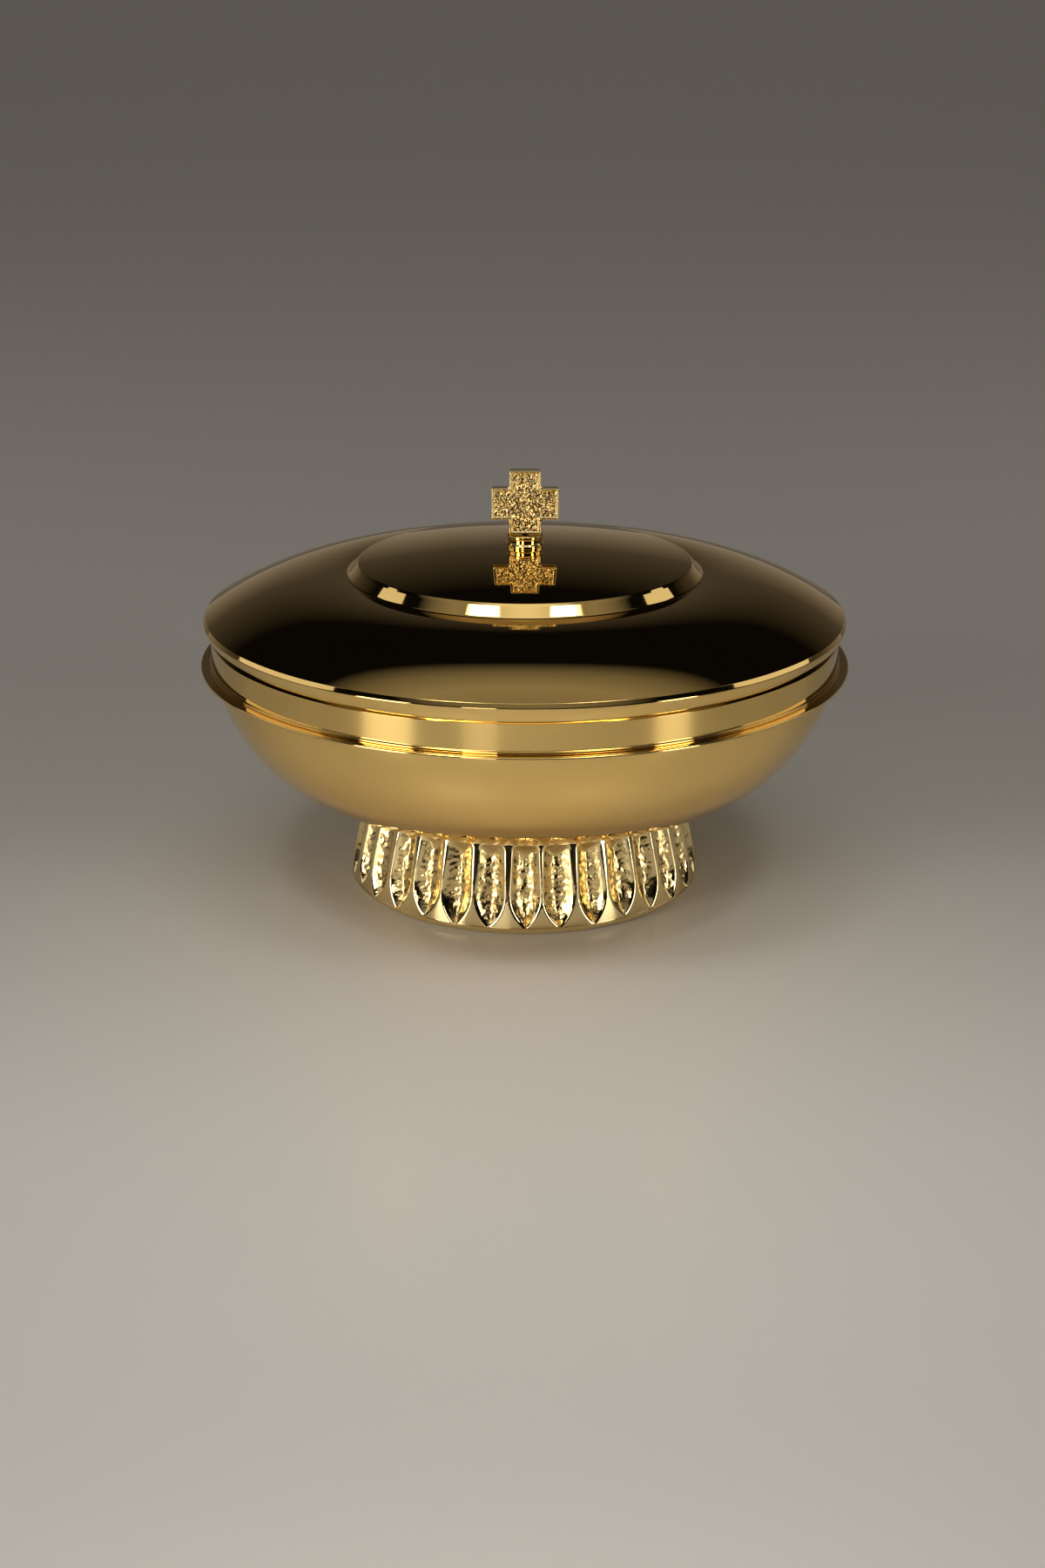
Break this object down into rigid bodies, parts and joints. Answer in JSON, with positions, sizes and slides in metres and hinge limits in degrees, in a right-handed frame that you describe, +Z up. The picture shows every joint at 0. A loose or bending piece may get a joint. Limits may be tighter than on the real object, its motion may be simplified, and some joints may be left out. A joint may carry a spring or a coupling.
{
  "type": "covered ciborium",
  "caption": "Low covered altar vessel: wide spun bowl on a cast fluted foot, with a domed lift-off lid, a raised centre disc and an equal-armed cross as finial.",
  "frame": {"origin": "middle of the resting face, under the foot", "axes": "+Z up along the vessel's axis, -Y towards the viewer with the broad face of the cross, +X to the viewer's right"},
  "size_m": [0.1518, 0.1518, 0.0985],
  "materials": {
    "gilt_polished": "spun brass, gold plated and mirror polished",
    "gilt_cast": "cast brass, gold plated, polished ridges beside rough cast recesses",
    "gilt_turned": "turned brass, gold plated, satin"
  },
  "bodies": {
    "base": {"foot_fluted_ring": "gilt_cast", "foot_base_plate": "gilt_turned", "foot_washer": "gilt_turned", "foot_nut": "gilt_turned", "bowl_stud": "gilt_turned", "bowl_shell": "gilt_polished", "bowl_rim_ring": "gilt_polished"},
    "lid": {"lid_band": "gilt_polished", "lid_dome": "gilt_polished", "cross_collar": "gilt_polished", "cross": "gilt_cast", "cross_washer": "gilt_turned", "cross_nut": "gilt_turned"}
  },
  "joints": [
    {"name": "lid_lift", "type": "slide", "parent": "base", "child": "lid", "axis": [0, 0, 1], "range_m": [0, 0.08]}
  ]
}
